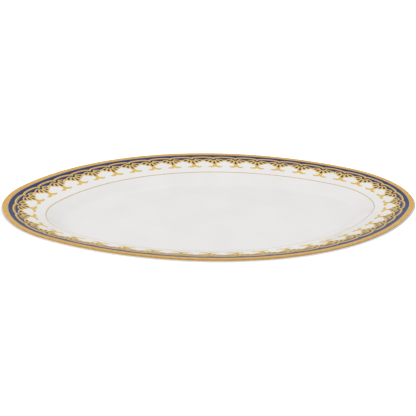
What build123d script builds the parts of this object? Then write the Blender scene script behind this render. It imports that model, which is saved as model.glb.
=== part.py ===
from build123d import *
from math import atan2, degrees
import os

os.makedirs("parts", exist_ok=True)

# An oval serving platter of bone china with a gilded and cobalt border. It stands on the table at
# z = 0, with its middle on the z axis and its length along X. All sizes are in millimetres and all
# angles in degrees. An "inset" is a level distance in from the platter's outer edge.

# ---- the china ----
length = 360.0
width = 252.0
height = 25.0  # to the corner of the lip, before it is rounded
end_radius = 84.0  # plan radius at the two ends of the oval
lip_thickness = 2.4
lip_radius = 1.1

shoulder_inset = 9.0  # where the nearly flat margin turns into the sloping rim
shoulder_drop = 1.3
shoulder_radius = 60.0
rim_width = 34.4  # from the edge to the verge, where the rim turns down into the well
rim_drop = 8.0  # from the lip to the verge
verge_thickness = 4.6
verge_radius = 7.0

wall_run = 14.1  # from the verge to the foot of the well's wall
cove_radius = 16.0
floor_thickness = 5.0
under_run = 1.6  # how much further in the underside turns than the top

foot_height = 4.0
foot_inset = 57.6  # on the two axes of the oval
foot_end_radius = 34.0
foot_width = 3.6  # across the flat that it stands on
foot_flare = 0.8  # how much each side spreads up to the china
foot_edge_radius = 0.5

# ---- the plain bands of the border ----
coat_thickness = 0.2  # of the gilding, the cobalt and the verge line
gilding_width = 4.8
gilding_over_lip = 0.6  # how far down the lip's outer side the gilding reaches
edge_line_width = 0.8
edge_line_thickness = 0.35
verge_line_width = 0.9

# ---- the motif: an arcade of gold arches, with a fan and a leaf foot where two arches meet ----
motif_count = 41
lace_thickness = 0.25  # of the arcade and the fans, which lie on the cobalt
junction_inset = 12.0  # where two arches meet, which is the centre of the fan
cobalt_inset = 15.0  # where the cobalt ends between two fans
arch_rise = 2.5
arch_line = 1.3
inner_arch_gap = 1.2  # how much the inner line falls short of the outer one at each end
inner_arch_rise = 1.3
inner_arch_line = 0.4
boss_radius = 1.4
boss_eye_radius = 0.5

petals = ((-63.0, 8.3), (-34.0, 6.9), (0.0, 8.1), (34.0, 6.9), (63.0, 8.3))  # angle, tip distance
petal_tip_radius = 0.95  # of the cobalt drop in the petal, at its wide end
petal_root = 4.6  # distance from the fan's centre to the middle of the drop's narrow end
petal_root_radius = 0.35
petal_rim = 1.3  # width of the gold round the drop
web_radius = 7.4  # how far out the petals are joined to each other
web_half_angle = 76.0
link_radius = 1.3  # of the gold button that joins each fan to the next
link_depth = 3.2  # of the button's middle, in from the line of junctions

leaf_thickness = 0.3
stem_half_width = 1.6
leaf_reach = 6.7  # from the stem's middle out to a leaf's tip
leaf_root = 11.6  # this and the next four are distances from the fan's centre
leaf_hollow = 13.2
leaf_tip = 14.0
leaf_notch = 14.2
leaf_lobe = 15.4

# ---- worked out from those ----
verge_height = height - rim_drop
floor_top = foot_height + floor_thickness
cove_inset = rim_width + wall_run
floor_inset = cove_inset + cove_radius  # inside this the floor is plain and level
under_lip = height - lip_thickness
under_verge_inset = rim_width + under_run
under_verge_height = verge_height - verge_thickness

edge_line_inner = gilding_width + edge_line_width
verge_line_inner = rim_width + verge_line_width
spill = 1.0  # margin for cutting tools that reach past what they cut
fan_reach = max(tip for angle, tip in petals) + petal_tip_radius + petal_rim
fan_end = junction_inset + fan_reach + spill
leaf_end = junction_inset + leaf_lobe + spill
lace_top = coat_thickness + lace_thickness

# ---- corners of the cross-section, where x is 0 at the edge and minus the inset, y the height ----
# The top runs from the well's floor up the rim, over the lip and down its side.
top_corners = [
    (-floor_inset, floor_top),
    (-cove_inset, floor_top),
    (-rim_width, verge_height),
    (-shoulder_inset, height - shoulder_drop),
    (0, height),
    (0, under_lip),
]
top_radii = [cove_radius, verge_radius, shoulder_radius, lip_radius]
under_corners = [
    (-under_verge_inset, under_verge_height),
    (-cove_inset - under_run, foot_height),
    (-floor_inset, foot_height),
]
china_radii = [0, *top_radii, lip_radius, verge_radius, cove_radius, 0]


class Oval:
    """An oval of four arcs, two at the ends and two along the sides, that join without a corner."""

    def __init__(self, half_length, half_width, end_radius):
        self.half_length = half_length
        self.half_width = half_width
        self.end_radius = end_radius
        self.end_centre = half_length - end_radius
        gap = half_width - end_radius
        self.side_centre = (self.end_centre**2 - gap**2) / (2 * gap)
        self.side_radius = half_width + self.side_centre
        self.end_sweep = degrees(atan2(self.side_centre, self.end_centre))
        self.side_sweep = 90 - self.end_sweep

    def draw(self, inset):
        """Draw the oval at this inset, counter-clockwise from its tip at -X."""
        end = self.end_radius - inset
        side = self.side_radius - inset
        CenterArc((-self.end_centre, 0), end, 180, self.end_sweep)
        CenterArc((0, self.side_centre), side, 180 + self.end_sweep, 2 * self.side_sweep)
        CenterArc((self.end_centre, 0), end, -self.end_sweep, 2 * self.end_sweep)
        CenterArc((0, -self.side_centre), side, self.end_sweep, 2 * self.side_sweep)
        CenterArc((-self.end_centre, 0), end, 180 - self.end_sweep, self.end_sweep)

    def face(self, inset):
        """Return the face inside the oval at this inset."""
        with BuildSketch() as inside:
            with BuildLine():
                self.draw(inset)
            make_face()
        return inside.sketch

    def carry_round(self, section):
        """Turn a section about the arcs' centres, and mirror that quarter into the whole oval."""
        end_plane = Plane(origin=(self.half_length, 0, 0), x_dir=(1, 0, 0), z_dir=(0, -1, 0))
        with BuildSketch(end_plane) as end_section:
            add(section)
        revolve(end_section.sketch, Axis((self.end_centre, 0, 0), (0, 0, 1)), self.end_sweep)
        side_plane = Plane(origin=(0, self.half_width, 0), x_dir=(0, 1, 0), z_dir=(1, 0, 0))
        with BuildSketch(side_plane) as side_section:
            add(section)
        revolve(side_section.sketch, Axis((0, -self.side_centre, 0), (0, 0, -1)), self.side_sweep)
        mirror(about=Plane.XZ)
        mirror(about=Plane.YZ)


def coat_section(outer, inner, bottom, top, down_to=0):
    """Return the section of a coat between two insets and between two levels over the china."""
    with BuildSketch() as coat:
        for level, mode in ((top, Mode.ADD), (bottom, Mode.SUBTRACT)):
            if level > 0:
                with BuildLine():
                    FilletPolyline(*top_corners, radius=top_radii)
                    offset(amount=level, side=Side.LEFT)
                make_face(mode=mode)
        with Locations((-inner, down_to)):
            Rectangle(inner - outer, 2 * height, align=Align.MIN, mode=Mode.INTERSECT)
    return coat.sketch


def places_round(phase):
    """Return a place for each motif on the oval of junctions, its x along the edge and y inwards."""
    with BuildLine() as track:
        edge.draw(junction_inset)
    wire = track.wire()
    places = []
    for number in range(motif_count):
        distance = (number + phase) / motif_count
        along = wire.tangent_at(distance)
        places.append(Location(wire.position_at(distance), (0, 0, degrees(atan2(along.Y, along.X)))))
    return places


def drop(tip, rim):
    """Return a petal's drop, with its tip this far from the fan's centre and a rim round it."""
    with BuildSketch() as outline:
        with Locations((0, petal_root)):
            Circle(petal_root_radius + rim)
        with Locations((0, tip)):
            Circle(petal_tip_radius + rim)
        make_hull()
    return outline.sketch


edge = Oval(length / 2, width / 2, end_radius)
foot = Oval(length / 2 - foot_inset, width / 2 - foot_inset, foot_end_radius)

# ---- china body: one pressing, with the well, the verge and the rim ----
with BuildSketch() as china_section:
    with BuildLine():
        FilletPolyline(*top_corners, *under_corners, radius=china_radii, close=True)
    make_face()

with BuildPart() as china_body:
    edge.carry_round(china_section.sketch)
    with BuildSketch(Plane.XY.offset(foot_height)):
        add(edge.face(floor_inset))
    extrude(amount=floor_thickness)

# ---- foot ring: tapered, with a narrow flat to stand on ----
with BuildSketch() as foot_section:
    with BuildLine():
        Polyline(
            (0, 0),
            (foot_flare, foot_height),
            (-foot_width - foot_flare, foot_height),
            (-foot_width, 0),
            close=True,
        )
    make_face()
    fillet(foot_section.vertices().group_by(Axis.Y)[0], foot_edge_radius)

with BuildPart() as foot_ring:
    foot.carry_round(foot_section.sketch)

# ---- rim gilding: over the margin and the top of the lip, whose side stays white below it ----
with BuildPart() as rim_gilding:
    gilding_end = height - gilding_over_lip
    edge.carry_round(coat_section(-spill, gilding_width, 0, coat_thickness, down_to=gilding_end))

# ---- edge line: a raised gold line that closes the gilding ----
with BuildPart() as edge_line:
    edge.carry_round(coat_section(gilding_width, edge_line_inner, 0, edge_line_thickness))

# ---- verge line: a fine gold line where the rim turns down ----
with BuildPart() as verge_line:
    edge.carry_round(coat_section(rim_width, verge_line_inner, 0, coat_thickness))

# ---- the motif's own outlines, with the junction of two arches at the origin ----
junctions = places_round(0)
crowns = places_round(0.5)
links = [crown * Location((0, link_depth, 0)) for crown in crowns]
half_span = (junctions[1].position - junctions[0].position).length / 2

with BuildSketch() as arch:
    Ellipse(half_span + arch_line / 2, arch_rise + arch_line / 2)
    Ellipse(half_span - arch_line / 2, arch_rise - arch_line / 2, mode=Mode.SUBTRACT)
    inner_span = half_span - inner_arch_gap
    Ellipse(inner_span + inner_arch_line / 2, inner_arch_rise + inner_arch_line / 2)
    Ellipse(inner_span - inner_arch_line / 2, inner_arch_rise - inner_arch_line / 2, mode=Mode.SUBTRACT)
    with Locations((0, fan_reach / 2)):
        Rectangle(3 * half_span, fan_reach, mode=Mode.SUBTRACT)

with BuildSketch() as fan_outline:
    with BuildLine():
        web = CenterArc((0, 0), web_radius, 90 - web_half_angle, 2 * web_half_angle)
        Line((0, 0), web @ 0)
        Line((0, 0), web @ 1)
    make_face()
    for angle, tip in petals:
        add(drop(tip, petal_rim), rotation=angle)

with BuildSketch() as fan:
    add(fan_outline.sketch)
    for angle, tip in petals:
        add(drop(tip, 0), rotation=angle, mode=Mode.SUBTRACT)

with BuildSketch() as leaf_foot:
    with BuildLine():
        Polyline(
            (0, leaf_notch),
            (0, petal_root),
            (stem_half_width, petal_root),
            (stem_half_width, leaf_root),
        )
        ThreePointArc((stem_half_width, leaf_root), (leaf_reach / 2, leaf_hollow), (leaf_reach, leaf_tip))
        ThreePointArc((leaf_reach, leaf_tip), (leaf_reach / 2, leaf_lobe), (0, leaf_notch))
    make_face()
    mirror(about=Plane.YZ)
    add(fan_outline.sketch, mode=Mode.SUBTRACT)

# ---- cobalt ground: from the edge line in to the scallops under the fans ----
with BuildPart() as cobalt_ground:
    edge.carry_round(coat_section(edge_line_inner, fan_end, 0, coat_thickness))
    with BuildSketch():
        add(edge.face(0))
        add(edge.face(cobalt_inset), mode=Mode.SUBTRACT)
        with Locations(*junctions):
            add(fan_outline.sketch)
        with Locations(*links):
            Circle(link_radius)
    extrude(amount=height + spill, mode=Mode.INTERSECT)

# ---- arcade: double gold arches, joined by a pierced boss at each junction ----
with BuildPart() as arcade:
    edge.carry_round(coat_section(edge_line_inner, fan_end, coat_thickness, lace_top))
    with BuildSketch():
        with Locations(*crowns):
            add(arch.sketch)
        with Locations(*junctions):
            Circle(boss_radius)
            Circle(boss_eye_radius, mode=Mode.SUBTRACT)
    extrude(amount=height + spill, mode=Mode.INTERSECT)

# ---- fans: gold palmettes, cut round the bosses, with the cobalt showing as petals ----
with BuildPart() as fans:
    edge.carry_round(coat_section(edge_line_inner, fan_end, coat_thickness, lace_top))
    with BuildSketch():
        with Locations(*junctions):
            add(fan.sketch)
            Circle(boss_radius, mode=Mode.SUBTRACT)
        with Locations(*links):
            Circle(link_radius)
    extrude(amount=height + spill, mode=Mode.INTERSECT)

# ---- leaf feet: a stem and two leaves on the white china under each fan ----
with BuildPart() as leaf_feet:
    edge.carry_round(coat_section(junction_inset, leaf_end, 0, leaf_thickness))
    with BuildSketch():
        with Locations(*junctions):
            add(leaf_foot.sketch)
    extrude(amount=height + spill, mode=Mode.INTERSECT)

pieces = {
    "china_body": china_body,
    "foot_ring": foot_ring,
    "rim_gilding": rim_gilding,
    "edge_line": edge_line,
    "cobalt_ground": cobalt_ground,
    "arcade": arcade,
    "fans": fans,
    "leaf_feet": leaf_feet,
    "verge_line": verge_line,
}
for name, piece in pieces.items():
    piece.part.label = name
    export_step(piece.part, f"parts/{name}.step")
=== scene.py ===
import math

import bpy
import numpy as np
from mathutils import Matrix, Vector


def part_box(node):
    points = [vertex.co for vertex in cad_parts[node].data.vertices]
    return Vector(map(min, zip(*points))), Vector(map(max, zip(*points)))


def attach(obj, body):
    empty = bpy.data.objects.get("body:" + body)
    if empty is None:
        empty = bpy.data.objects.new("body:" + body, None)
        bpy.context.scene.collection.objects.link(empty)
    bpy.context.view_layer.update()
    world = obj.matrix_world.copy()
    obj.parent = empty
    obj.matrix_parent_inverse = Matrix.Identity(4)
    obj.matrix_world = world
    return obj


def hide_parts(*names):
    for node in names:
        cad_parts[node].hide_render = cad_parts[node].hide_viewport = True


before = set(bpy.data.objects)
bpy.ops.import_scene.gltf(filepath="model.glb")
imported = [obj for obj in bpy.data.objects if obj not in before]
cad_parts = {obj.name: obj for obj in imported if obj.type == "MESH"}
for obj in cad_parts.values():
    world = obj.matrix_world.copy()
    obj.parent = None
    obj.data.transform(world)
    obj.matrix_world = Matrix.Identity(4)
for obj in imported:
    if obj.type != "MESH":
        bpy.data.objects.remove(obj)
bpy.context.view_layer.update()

# An oval bone-china platter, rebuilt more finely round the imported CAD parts. Sizes are in metres in
# the frame of the CAD, written as millimetres times mm. An "inset" is a level distance in from the
# platter's outer edge. A section is a list of points whose x is minus the inset and y the height.
mm = 0.001

# ---- sizes that the CAD parts give ----
low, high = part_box("china_body")
half_length = high.x
half_width = high.y
foot_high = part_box("foot_ring")[1]
line_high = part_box("edge_line")[1]
verge_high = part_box("verge_line")[1]
edge_line_outer = half_length - line_high.x
rim_width = half_length - verge_high.x
foot_height = low.z
foot_half_length = foot_high.x
foot_half_width = foot_high.y

# ---- the china ----
height = 25.0 * mm  # to the corner of the lip, before it is rounded
end_radius = 84.0 * mm  # plan radius at the two ends of the oval
lip_thickness = 2.4 * mm
lip_radius = 1.1 * mm
shoulder_inset = 9.0 * mm  # where the nearly flat margin turns into the sloping rim
shoulder_drop = 1.3 * mm
shoulder_radius = 60.0 * mm
rim_drop = 8.0 * mm  # from the lip to the verge, where the rim turns down into the well
verge_thickness = 4.6 * mm
verge_radius = 7.0 * mm
wall_run = 14.1 * mm  # from the verge to the foot of the well's wall
cove_radius = 16.0 * mm
floor_thickness = 5.0 * mm
under_run = 1.6 * mm  # how much further in the underside turns than the top
foot_end_radius = 34.0 * mm
foot_width = 3.6 * mm  # across the flat that it stands on
foot_flare = 0.8 * mm  # how much each side spreads up to the china
foot_edge_radius = 0.5 * mm
foot_root_radius = 0.02 * mm  # where it joins the china, next to nothing

# ---- the plain bands of the border ----
coat_thickness = 0.08 * mm  # of the gilding and the cobalt, which are fired films
gilding_over_lip = 0.6 * mm  # how far down the lip's outer side the gilding reaches
ribs_per_motif = 20
rib_height = 0.03 * mm
edge_line_width = 0.8 * mm
edge_line_rise = 0.14 * mm
verge_line_width = 0.7 * mm
verge_line_rise = 0.08 * mm

# ---- the motif: an arcade of gold arches, with a fan and a leaf foot where two arches meet ----
motif_count = 41
lace_rise = 0.12 * mm  # how high a gold line stands over what it lies on
boss_rise = 0.15 * mm
inner_arch_line_rise = 0.084 * mm
sink = 0.06 * mm  # how far the foot of a line or coat goes down into what it lies on
junction_inset = 12.0 * mm  # where two arches meet, which is the centre of the fan
cobalt_inset = 15.0 * mm  # where the cobalt ends between two fans
arch_rise = 2.5 * mm
arch_line = 1.3 * mm
inner_arch_gap = 1.2 * mm  # how much the inner line falls short of the outer one at each end
inner_arch_rise = 1.3 * mm
inner_arch_line = 0.4 * mm
boss_radius = 1.4 * mm
boss_eye_radius = 0.5 * mm

# Each petal is its angle in degrees and how far its tip is from the fan's centre.
petals = ((-63, 8.3 * mm), (-34, 6.9 * mm), (0, 8.1 * mm), (34, 6.9 * mm), (63, 8.3 * mm))
petal_tip_radius = 1.05 * mm  # of the cobalt drop in the petal, at its wide end
petal_root = 4.6 * mm  # from the fan's centre to the middle of the drop's narrow end
petal_root_radius = 0.35 * mm
petal_rim = 1.2 * mm  # width of the gold round the drop
web_radius = 6.4 * mm  # how far out from the fan's centre the cobalt reaches between petals
link_radius = 1.3 * mm  # of the gold button that joins each fan to the next
link_depth = 3.2 * mm  # of the button's middle, in from the line of junctions

stem_width = 3.5 * mm
leaf_width = 3.0 * mm  # at its root; the next two are further along it
leaf_bend_width = 2.5 * mm
leaf_tip_width = 1.2 * mm
# The middle lines of the stem and the right leaf are Bezier curves, with four control points each.
# A point is how far it lies along the edge from the fan's centre, and how far inwards.
stem_line = (
    (0, 9.4 * mm),
    (0, 10.4 * mm),
    (0, 11.8 * mm),
    (0, 13.4 * mm),
)
leaf_line = (
    (0.3 * mm, 11.4 * mm),
    (1.6 * mm, 13.8 * mm),
    (3.6 * mm, 14.6 * mm),
    (6.6 * mm, 13.7 * mm),
)

# ---- how finely the meshes are cut ----
body_stations = 8 * motif_count
foot_stations = 4 * motif_count
line_stations = 12 * motif_count
cobalt_stations = 32 * motif_count
cobalt_columns = 10
stations_per_rib = 4
scallop_step = 0.1 * mm  # between the insets tried when the cobalt's scalloped edge is found
scallop_reach = 12.0 * mm  # from the line of junctions to the deepest inset tried

# ---- worked out from those ----
verge_height = height - rim_drop
floor_top = foot_height + floor_thickness
cove_inset = rim_width + wall_run
floor_inset = cove_inset + cove_radius
under_lip = height - lip_thickness
gilding_width = edge_line_outer
edge_line_inner = edge_line_outer + edge_line_width


class Oval:
    """An oval of four arcs, two at the ends and two along the sides, that join without a corner."""

    def __init__(self, half_length, half_width, end_radius):
        end_centre = half_length - end_radius
        gap = half_width - end_radius
        side_centre = (end_centre**2 - gap**2) / (2 * gap)
        side_radius = half_width + side_centre
        end_sweep = math.atan2(side_centre, end_centre)
        side_sweep = math.pi / 2 - end_sweep
        self.end_centre = end_centre
        self.side_centre = side_centre
        self.end_radius = end_radius
        self.side_radius = side_radius
        self.end_sweep = end_sweep
        # Each arc is its centre, radius, start angle and sweep, counter-clockwise from the tip at -X.
        self.arcs = (
            (-end_centre, 0, end_radius, math.pi, end_sweep),
            (0, side_centre, side_radius, math.pi + end_sweep, 2 * side_sweep),
            (end_centre, 0, end_radius, -end_sweep, 2 * end_sweep),
            (0, -side_centre, side_radius, end_sweep, 2 * side_sweep),
            (-end_centre, 0, end_radius, math.pi - end_sweep, end_sweep),
        )

    def stations(self, shares, inset=0.0):
        """Return centres, outward directions and edge radii at these shares of the way round."""
        lengths = np.array([(arc[2] - inset) * arc[4] for arc in self.arcs])
        ends = np.cumsum(lengths)
        distances = np.mod(shares, 1.0) * ends[-1]
        which = np.minimum(np.searchsorted(ends, distances, side="right"), len(lengths) - 1)
        arcs = np.array(self.arcs)[which]
        along = (distances - (ends - lengths)[which]) / lengths[which]
        angles = arcs[:, 3] + along * arcs[:, 4]
        directions = np.stack([np.cos(angles), np.sin(angles)], axis=1)
        return arcs[:, :2], directions, arcs[:, 2]

    def ring(self, shares, inset):
        """Return plan points at this inset, or at one inset for each share."""
        centres, directions, radii = self.stations(shares)
        return centres + directions * (radii - inset)[:, None]

    def insets(self, points):
        """Return how far in from the edge each plan point lies."""
        x = np.abs(points[:, 0])
        y = np.abs(points[:, 1])
        at_end = np.arctan2(y + self.side_centre, x) < self.end_sweep
        to_end = self.end_radius - np.hypot(x - self.end_centre, y)
        to_side = self.side_radius - np.hypot(x, y + self.side_centre)
        return np.where(at_end, to_end, to_side)


def rounded(corners, radii, step=math.radians(9)):
    """Return a section's points, with an arc of the given radius at each corner between its ends."""
    points = [np.array(corners[0], float)]
    for index, radius in enumerate(radii, start=1):
        before, corner, after = (np.array(corners[k], float) for k in (index - 1, index, index + 1))
        back = (before - corner) / np.linalg.norm(before - corner)
        on = (after - corner) / np.linalg.norm(after - corner)
        half_angle = math.acos(np.clip(back @ on, -1, 1)) / 2
        middle = (back + on) / np.linalg.norm(back + on)
        centre = corner + middle * radius / math.sin(half_angle)
        start = corner + back * radius / math.tan(half_angle) - centre
        turn = math.pi - 2 * half_angle
        if start[0] * on[1] - start[1] * on[0] < 0:
            turn = -turn
        count = max(3, math.ceil(abs(turn) / step))
        for angle in np.linspace(0, turn, count + 1):
            cosine = math.cos(angle)
            sine = math.sin(angle)
            turned = (start[0] * cosine - start[1] * sine, start[0] * sine + start[1] * cosine)
            points.append(centre + turned)
    points.append(np.array(corners[-1], float))
    return np.array(points)


edge = Oval(half_length, half_width, end_radius)
foot = Oval(foot_half_length, foot_half_width, foot_end_radius)

# ---- the top of the china, from the well's floor out to the lip and down its side ----
top_section = rounded(
    [
        (-floor_inset, floor_top),
        (-cove_inset, floor_top),
        (-rim_width, verge_height),
        (-shoulder_inset, height - shoulder_drop),
        (0, height),
        (0, under_lip),
    ],
    [cove_radius, verge_radius, shoulder_radius, lip_radius],
    step=math.radians(3),
)
under_section = rounded(
    [
        (0, height),
        (0, under_lip),
        (-rim_width - under_run, verge_height - verge_thickness),
        (-cove_inset - under_run, foot_height),
        (-floor_inset, foot_height),
    ],
    [lip_radius, verge_radius, cove_radius],
    step=math.radians(6),
)


def china_height(insets):
    """Return the height of the china's top at these insets."""
    rising = top_section[top_section[:, 0] < -lip_radius]
    return np.interp(-np.asarray(insets), rising[:, 0], rising[:, 1])


# ---- meshes ----
def add_piece(node, slot, vertices, faces, material, crease=None):
    """Make a smooth mesh that stands for a CAD node, and hide that node. The slot argument is not
    used.
    """
    mesh = bpy.data.meshes.new(node)
    mesh.from_pydata(np.asarray(vertices, float).tolist(), [], faces)
    mesh.polygons.foreach_set("use_smooth", [True] * len(mesh.polygons))
    mesh.materials.append(material)
    piece = bpy.data.objects.new(node + "_fine", mesh)
    bpy.context.scene.collection.objects.link(piece)
    if crease is not None:
        mesh.set_sharp_from_angle(angle=crease)
    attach(piece, "root")
    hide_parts(node)


def band_faces(rows, columns, rows_closed=True, columns_closed=True):
    """Return the quads of a grid of vertices that runs on round in its rows, its columns or both."""
    faces = []
    for row in range(rows if rows_closed else rows - 1):
        below = row * columns
        above = (row + 1) % rows * columns
        for column in range(columns if columns_closed else columns - 1):
            beside = (column + 1) % columns
            faces.append((below + column, below + beside, above + beside, above + column))
    return faces


def sweep(oval, section, station_count, lift=None):
    """Return vertices of a section carried round an oval, with an optional lift at each station."""
    shares = np.arange(station_count) / station_count
    centres, directions, radii = oval.stations(shares)
    reach = radii[:, None] + section[None, :, 0]
    plan = centres[:, None, :] + directions[:, None, :] * reach[:, :, None]
    heights = np.broadcast_to(section[None, :, 1], reach.shape)
    if lift is not None:
        heights = heights + lift
    return np.concatenate([plan, heights[:, :, None]], axis=2).reshape(-1, 3)


def add_disc(vertices, faces, ring, facing_up):
    """Fill a level ring of vertices with shrinking rings and a fan of triangles at the middle."""
    count = len(ring)
    rim_points = vertices[ring]
    for shrink in (0.75, 0.5, 0.25):
        start = len(vertices)
        inner = rim_points * (shrink, shrink, 1)
        vertices = np.concatenate([vertices, inner])
        inner_ring = np.arange(start, start + count)
        for index in range(count):
            after = (index + 1) % count
            quad = (ring[index], ring[after], inner_ring[after], inner_ring[index])
            faces.append(quad if facing_up else quad[::-1])
        ring = inner_ring
    middle = len(vertices)
    vertices = np.concatenate([vertices, [(0, 0, rim_points[0, 2])]])
    for index in range(count):
        after = (index + 1) % count
        triangle = (ring[index], ring[after], middle)
        faces.append(triangle if facing_up else triangle[::-1])
    return vertices, [tuple(int(corner) for corner in face) for face in faces]


# Edges that turn by more than this stay sharp on the pieces that have corners.
sharp = math.radians(50)

# A bead's profile runs across it as shares of its half width, and up as shares of its rise.
bead_across = np.array([-1.0, -0.9, -0.56, 0.0, 0.56, 0.9, 1.0])
bead_up = np.array([0.0, 0.5, 0.87, 1.0, 0.87, 0.5, 0.0])


def bead(path, half_width, rise, closed=False):
    """Return a domed line along a plan path as vertices (x, y, level) and faces."""
    path = np.asarray(path, float)
    if closed:
        ahead = np.roll(path, -1, axis=0)
        behind = np.roll(path, 1, axis=0)
    else:
        ahead = np.concatenate([path[1:], path[-1:]])
        behind = np.concatenate([path[:1], path[:-1]])
    along = ahead - behind
    along /= np.linalg.norm(along, axis=1)[:, None]
    left = np.stack([-along[:, 1], along[:, 0]], axis=1)
    half_widths = np.broadcast_to(half_width, len(path))
    offsets = -half_widths[:, None] * bead_across[None, :]
    plan = path[:, None, :] + left[:, None, :] * offsets[:, :, None]
    levels = np.where(bead_up > 0, bead_up * rise, -sink)
    levels = np.broadcast_to(levels[None, :, None], (len(path), len(bead_up), 1))
    vertices = np.concatenate([plan, levels], axis=2).reshape(-1, 3)
    columns = len(bead_up)
    faces = band_faces(len(path), columns, rows_closed=closed)
    if not closed:
        faces.append(tuple(range(columns))[::-1])
        faces.append(tuple(range(len(vertices) - columns, len(vertices))))
    return vertices, faces


def join(parts):
    """Join meshes given as vertices and faces into one."""
    vertices = []
    faces = []
    for part_vertices, part_faces in parts:
        start = sum(len(block) for block in vertices)
        vertices.append(part_vertices)
        faces += [tuple(corner + start for corner in face) for face in part_faces]
    return np.concatenate(vertices), faces


def motif_places(phase):
    """Return the point and the direction along the edge of each motif on the junction oval."""
    shares = (np.arange(motif_count) + phase) / motif_count
    centres, directions, radii = edge.stations(shares, junction_inset)
    points = centres + directions * (radii - junction_inset)[:, None]
    along = np.stack([-directions[:, 1], directions[:, 0]], axis=1)
    return points, along


def lay_round(motif, phase, ground):
    """Lay a motif on the rim at each of its places, this far above the china."""
    vertices, faces = motif
    copies = []
    for point, along in zip(*motif_places(phase)):
        inwards = np.array([-along[1], along[0]])
        plan = point + vertices[:, :1] * along + vertices[:, 1:2] * inwards
        heights = china_height(edge.insets(plan)) + ground + vertices[:, 2]
        copies.append((np.concatenate([plan, heights[:, None]], axis=1), faces))
    return join(copies)


def line_round(inset, half_width, rise, station_count):
    """Return a bead all the way round the platter, on the china at this inset."""
    shares = np.arange(station_count) / station_count
    vertices, faces = bead(edge.ring(shares, inset), half_width, rise, closed=True)
    vertices[:, 2] += china_height(edge.insets(vertices[:, :2]))
    return vertices, faces


# ---- materials ----
def new_material(name, roughness, metallic=0.0, ior=1.5):
    """Return a material with its node tree and its shader, whose even values are set directly."""
    material = bpy.data.materials.new(name)
    material.use_nodes = True
    tree = material.node_tree
    shader = tree.nodes["Principled BSDF"]
    shader.inputs["Roughness"].default_value = roughness
    shader.inputs["Metallic"].default_value = metallic
    shader.inputs["IOR"].default_value = ior
    return material, tree, shader


def add_node(tree, kind, **inputs):
    """Add a node and link or set each named input."""
    node = tree.nodes.new(kind)
    for name, value in inputs.items():
        socket = node.inputs[name.replace("_", " ")]
        if isinstance(value, bpy.types.NodeSocket):
            tree.links.new(value, socket)
        else:
            socket.default_value = value
    return node


def noise(tree, where, size, detail=4.0):
    """Return a noise value whose grains are about this size."""
    node = add_node(tree, "ShaderNodeTexNoise", Vector=where, Scale=1 / size, Detail=detail)
    return node.outputs["Fac"]


def ramp(tree, value, stops):
    """Return a colour that follows the value through these (position, colour) stops."""
    node = add_node(tree, "ShaderNodeValToRGB", Fac=value)
    elements = node.color_ramp.elements
    while len(elements) < len(stops):
        elements.new(0.5)
    for element, (position, colour) in zip(elements, stops):
        element.position = position
        element.color = (*colour, 1)
    return node.outputs["Color"]


def spread(tree, value, lowest, highest):
    """Return the value of a noise spread from one number to another."""
    node = add_node(tree, "ShaderNodeMapRange", Value=value)
    node.inputs["From Min"].default_value = 0.3
    node.inputs["From Max"].default_value = 0.7
    node.inputs["To Min"].default_value = lowest
    node.inputs["To Max"].default_value = highest
    return node.outputs["Result"]


def bump(tree, shader, value, distance):
    """Raise the surface by up to this distance where the value is high."""
    node = add_node(tree, "ShaderNodeBump", Height=value, Distance=distance, Strength=1.0)
    tree.links.new(node.outputs["Normal"], shader.inputs["Normal"])


def object_coordinates(tree):
    """Return the place in the piece's own frame, in metres."""
    return add_node(tree, "ShaderNodeTexCoord").outputs["Object"]


def speckled(name, colours, grain, roughness, metallic, relief, ior=1.5):
    """Return a material whose colour, roughness and relief vary in grains of this size."""
    material, tree, shader = new_material(name, roughness[0], metallic, ior)
    where = object_coordinates(tree)
    value = noise(tree, where, grain)
    fine = noise(tree, where, grain / 6)
    colour = ramp(tree, value, ((0.3, colours[0]), (0.7, colours[1])))
    tree.links.new(colour, shader.inputs["Base Color"])
    tree.links.new(spread(tree, fine, *roughness), shader.inputs["Roughness"])
    bump(tree, shader, fine, relief)
    return material


glazed_china = speckled(
    "glazed_china",
    ((0.76, 0.752, 0.742), (0.79, 0.783, 0.773)),
    grain=30 * mm,
    roughness=(0.05, 0.11),
    metallic=0.0,
    relief=0.004 * mm,
)
etched_gold = speckled(
    "etched_gold",
    ((0.82, 0.49, 0.11), (0.98, 0.61, 0.17)),
    grain=3 * mm,
    roughness=(0.34, 0.5),
    metallic=0.7,
    relief=0.02 * mm,
)
burnished_gold = speckled(
    "burnished_gold",
    ((0.86, 0.58, 0.22), (0.98, 0.72, 0.34)),
    grain=4 * mm,
    roughness=(0.18, 0.30),
    metallic=0.95,
    relief=0.005 * mm,
)
lace_gold = speckled(
    "lace_gold",
    ((0.97, 0.61, 0.12), (1.0, 0.74, 0.20)),
    grain=2.5 * mm,
    roughness=(0.34, 0.48),
    metallic=0.7,
    relief=0.02 * mm,
)
cobalt = speckled(
    "cobalt",
    ((0.004, 0.008, 0.085), (0.006, 0.014, 0.125)),
    grain=8 * mm,
    roughness=(0.06, 0.12),
    metallic=0.0,
    relief=0.004 * mm,
    ior=1.35,
)
foot_china = speckled(
    "foot_china",
    ((0.70, 0.67, 0.62), (0.78, 0.76, 0.72)),
    grain=2 * mm,
    roughness=(0.35, 0.6),
    metallic=0.0,
    relief=0.02 * mm,
)

# ---- china body ----
side_start = int(np.argmax(under_section[:, 1] < height - lip_thickness / 2))
body_section = np.concatenate([top_section[:-1], under_section[side_start:]])
body_vertices = sweep(edge, body_section, body_stations)
columns = len(body_section)
body_faces = band_faces(body_stations, columns, columns_closed=False)
first_ring = np.arange(body_stations) * columns
body_vertices, body_faces = add_disc(body_vertices, body_faces, first_ring, True)
body_vertices, body_faces = add_disc(body_vertices, body_faces, first_ring + columns - 1, False)
add_piece("china_body", "glazed_china", body_vertices, body_faces, glazed_china)

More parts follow.
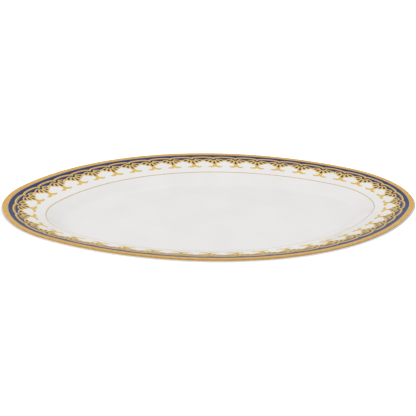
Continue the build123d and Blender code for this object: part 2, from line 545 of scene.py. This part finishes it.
# ---- foot ring ----
foot_section = rounded(
    [
        (-foot_width / 2 - foot_flare, foot_height),
        (0, foot_height),
        (-foot_flare, 0),
        (-foot_flare - foot_width, 0),
        (-foot_width - 2 * foot_flare, foot_height),
        (-foot_width / 2 - foot_flare, foot_height),
    ],
    [foot_root_radius, foot_edge_radius, foot_edge_radius, foot_root_radius],
)[:-1]
foot_vertices = sweep(foot, foot_section, foot_stations)
foot_faces = band_faces(foot_stations, len(foot_section))
add_piece("foot_ring", "foot_china", foot_vertices, foot_faces, foot_china, crease=sharp)

# ---- rim gilding, with fine etched ribs across it ----
lip_section = rounded(
    [(-gilding_width, china_height(gilding_width)), (0, height), (0, under_lip)],
    [lip_radius],
    step=math.radians(15),
)
on_top = lip_section[:, 0] < -lip_radius
on_lip = lip_section[:, 1] > height - gilding_over_lip
gilding_line = lip_section[on_top | on_lip]
slopes = np.gradient(gilding_line, axis=0)
normals = np.stack([-slopes[:, 1], slopes[:, 0]], axis=1)
normals /= np.linalg.norm(normals, axis=1)[:, None]
gilding_over = gilding_line + normals * coat_thickness
gilding_under = gilding_line - normals * sink
gilding_section = np.concatenate([gilding_over, gilding_under[::-1]])
rib_stations = stations_per_rib * ribs_per_motif * motif_count
rib_wave = rib_height * np.sin(np.arange(rib_stations) * 2 * math.pi / stations_per_rib)
ribbed = np.zeros(len(gilding_section))
ribbed[1:len(gilding_line) - 1] = 1.0
rib_lift = rib_wave[:, None] * ribbed[None, :]
gilding_vertices = sweep(edge, gilding_section, rib_stations, lift=rib_lift)
gilding_faces = band_faces(rib_stations, len(gilding_section))
add_piece("rim_gilding", "etched_gold", gilding_vertices, gilding_faces, etched_gold, crease=sharp)

# ---- edge line and verge line ----
edge_line_middle = edge_line_outer + edge_line_width / 2
edge_line = line_round(edge_line_middle, edge_line_width / 2, edge_line_rise, line_stations)
add_piece("edge_line", "burnished_gold", *edge_line, burnished_gold)
verge_line_middle = rim_width + verge_line_width / 2
verge_line = line_round(verge_line_middle, verge_line_width / 2, verge_line_rise, line_stations)
add_piece("verge_line", "burnished_gold", *verge_line, burnished_gold)


# ---- cobalt ground, scalloped so that its inner edge stays under the gold of the fans ----
def petal_axis(angle, distance):
    """Return the plan point this far from the fan's centre along a petal's axis."""
    turned = math.radians(angle)
    return np.array([math.sin(turned) * distance, math.cos(turned) * distance])


def cobalt_edge(shares):
    """Return the inset of the cobalt's inner edge at these shares of the way round."""
    discs = [(petal_axis(angle, tip), petal_tip_radius + petal_rim / 2) for angle, tip in petals]
    discs.append((np.zeros(2), web_radius))
    points, along = motif_places(0)
    nearest = np.round(shares * motif_count).astype(int) % motif_count
    deepest = np.full(len(shares), cobalt_inset)
    for inset in np.arange(cobalt_inset, junction_inset + scallop_reach, scallop_step):
        offset = edge.ring(shares, inset) - points[nearest]
        across = (offset * along[nearest]).sum(axis=1)
        inwards = offset[:, 1] * along[nearest, 0] - offset[:, 0] * along[nearest, 1]
        for centre, radius in discs:
            inside = np.hypot(across - centre[0], inwards - centre[1]) < radius
            deepest[inside] = inset
    return deepest


shares = np.arange(cobalt_stations) / cobalt_stations
inner_edge = cobalt_edge(shares)
reach = np.linspace(1, 0, cobalt_columns)
insets = edge_line_inner + (inner_edge[:, None] - edge_line_inner) * reach[None, :]
centres, outwards, radii = edge.stations(shares)
plan = centres[:, None, :] + outwards[:, None, :] * (radii[:, None] - insets)[:, :, None]
heights = china_height(insets)
over = np.concatenate([plan, (heights + coat_thickness)[:, :, None]], axis=2)
under = np.concatenate([plan, (heights - sink)[:, :, None]], axis=2)[:, ::-1]
cobalt_vertices = np.concatenate([over, under], axis=1).reshape(-1, 3)
cobalt_faces = band_faces(cobalt_stations, 2 * cobalt_columns)
add_piece("cobalt_ground", "cobalt", cobalt_vertices, cobalt_faces, cobalt, crease=sharp)


# ---- the motif's lines ----
def on_circle(angles, radius, centre=(0.0, 0.0)):
    """Return the plan points at these angles round a circle."""
    return np.stack([np.cos(angles), np.sin(angles)], axis=1) * radius + centre


def circle(radius, count):
    """Return this many points evenly round a whole circle."""
    return on_circle(np.linspace(0, 2 * math.pi, count, endpoint=False), radius)


def half_ellipse(half_span, rise, count):
    """Return an arch from one side to the other, rising towards the edge."""
    angles = np.linspace(math.pi, 2 * math.pi, count)
    return np.stack([np.cos(angles) * half_span, np.sin(angles) * rise], axis=1)


def drop_outline(angle, tip, rim, count):
    """Return the outline of a petal's drop, with a rim of this width round it."""
    root_radius = petal_root_radius + rim
    tip_radius = petal_tip_radius + rim
    lean = math.asin((tip_radius - root_radius) / (tip - petal_root))
    round_tip = np.linspace(-lean, math.pi + lean, 2 * count // 3)
    round_root = np.linspace(math.pi + lean, 2 * math.pi - lean, count // 3)
    tip_arc = on_circle(round_tip, tip_radius, (0, tip))
    root_arc = on_circle(round_root, root_radius, (0, petal_root))
    outline = np.concatenate([tip_arc, root_arc])
    turned = math.radians(angle)
    turn = np.array([[math.cos(turned), -math.sin(turned)], [math.sin(turned), math.cos(turned)]])
    return outline @ turn


junctions = motif_places(0)[0]
half_span = np.linalg.norm(junctions[1] - junctions[0]) / 2
outer_arch = half_ellipse(half_span, arch_rise, 25)
inner_arch = half_ellipse(half_span - inner_arch_gap, inner_arch_rise, 21)
arches = join([
    bead(outer_arch, arch_line / 2, lace_rise),
    bead(inner_arch, inner_arch_line / 2, inner_arch_line_rise),
])
boss_line = boss_radius - boss_eye_radius
boss = bead(circle(boss_eye_radius + boss_line / 2, 20), boss_line / 2, boss_rise, closed=True)
arcade = join([
    lay_round(arches, 0.5, coat_thickness),
    lay_round(boss, 0, coat_thickness),
])
add_piece("arcade", "lace_gold", *arcade, lace_gold)

fan = join([
    bead(drop_outline(angle, tip, petal_rim / 2, 36), petal_rim / 2, lace_rise, closed=True)
    for angle, tip in petals
])
link_half_widths = link_radius * np.array([0.4, 0.85, 1.0, 0.85, 0.4])
link_across = np.linspace(-link_radius, link_radius, len(link_half_widths))
link_line = np.stack([link_across, np.full(len(link_across), link_depth)], axis=1)
link = bead(link_line, link_half_widths, lace_rise)
fans = join([
    lay_round(fan, 0, coat_thickness),
    lay_round(link, 0.5, coat_thickness),
])
add_piece("fans", "lace_gold", *fans, lace_gold)


def curve_through(points, shares):
    """Return the points at these shares of a Bezier curve with four control points."""
    t = shares[:, None]
    a, b, c, d = (np.array(point, float) for point in points)
    return a * (1 - t)**3 + 3 * b * t * (1 - t)**2 + 3 * c * t**2 * (1 - t) + d * t**3


stem = curve_through(stem_line, np.linspace(0, 1, 8))
leaf_shares = np.linspace(0, 1, 16)
leaf_half_widths = np.interp(
    leaf_shares,
    (0, 0.3, 0.7, 1),
    (leaf_width / 2, leaf_width / 2, leaf_bend_width / 2, leaf_tip_width / 2),
)
right_leaf = curve_through(leaf_line, leaf_shares)
left_leaf = right_leaf * (-1, 1)
leaf_foot = join([
    bead(stem, stem_width / 2, lace_rise),
    bead(right_leaf, leaf_half_widths, lace_rise),
    bead(left_leaf, leaf_half_widths, lace_rise),
])
add_piece("leaf_feet", "lace_gold", *lay_round(leaf_foot, 0, 0), lace_gold)

# ---- floor ----
floor_reach = 6.0
floor_material, _, floor_shader = new_material("floor_white", 1.0)
floor_shader.inputs["Base Color"].default_value = (0.95, 0.95, 0.95, 1)
floor_shader.inputs["Specular IOR Level"].default_value = 0.0
floor_shader.inputs["Emission Color"].default_value = (1, 1, 1, 1)
floor_shader.inputs["Emission Strength"].default_value = 0.45
floor_mesh = bpy.data.meshes.new("floor")
floor_corners = [
    (-floor_reach, -floor_reach, 0),
    (floor_reach, -floor_reach, 0),
    (floor_reach, floor_reach, 0),
    (-floor_reach, floor_reach, 0),
]
floor_mesh.from_pydata(floor_corners, [], [(0, 1, 2, 3)])
floor_mesh.materials.append(floor_material)
floor = bpy.data.objects.new("floor", floor_mesh)
bpy.context.scene.collection.objects.link(floor)


# ---- light ----
def add_softbox(name, place, size, power):
    """Add a square area light at this place, facing the platter, whose shape no glaze reflects."""
    data = bpy.data.lights.new(name, "AREA")
    data.size = size
    data.energy = power
    lamp = bpy.data.objects.new(name, data)
    lamp.location = place
    lamp.rotation_euler = (-lamp.location).to_track_quat("-Z", "Y").to_euler()
    lamp.visible_glossy = False
    bpy.context.scene.collection.objects.link(lamp)


add_softbox("overhead_light", (0.0, -0.2, 1.6), 1.8, 14)
add_softbox("left_light", (-1.6, -0.6, 1.2), 1.2, 6)

world = bpy.data.worlds.new("studio")
world.use_nodes = True
world.node_tree.nodes["Background"].inputs["Color"].default_value = (1, 1, 1, 1)
world.node_tree.nodes["Background"].inputs["Strength"].default_value = 0.62
bpy.context.scene.world = world
bpy.context.scene.view_settings.view_transform = "Standard"

# ---- camera: low over the near side, turned a little, and tilted as the photograph is ----
elevation = math.radians(21.68)
around = math.radians(22.75)
roll = math.radians(4.28)
distance = 0.759
lens = 76.74

camera_data = bpy.data.cameras.new("camera")
camera_data.sensor_width = 36
camera_data.lens = lens
camera_data.shift_x = -0.0207
camera_data.shift_y = 0.0415
camera = bpy.data.objects.new("camera", camera_data)
camera.location = (
    -distance * math.cos(elevation) * math.sin(around),
    -distance * math.cos(elevation) * math.cos(around),
    distance * math.sin(elevation),
)
aim = (-camera.location).to_track_quat("-Z", "Y").to_matrix().to_4x4()
camera.matrix_world = Matrix.Translation(camera.location) @ aim @ Matrix.Rotation(roll, 4, "Z")
bpy.context.scene.collection.objects.link(camera)
bpy.context.scene.camera = camera
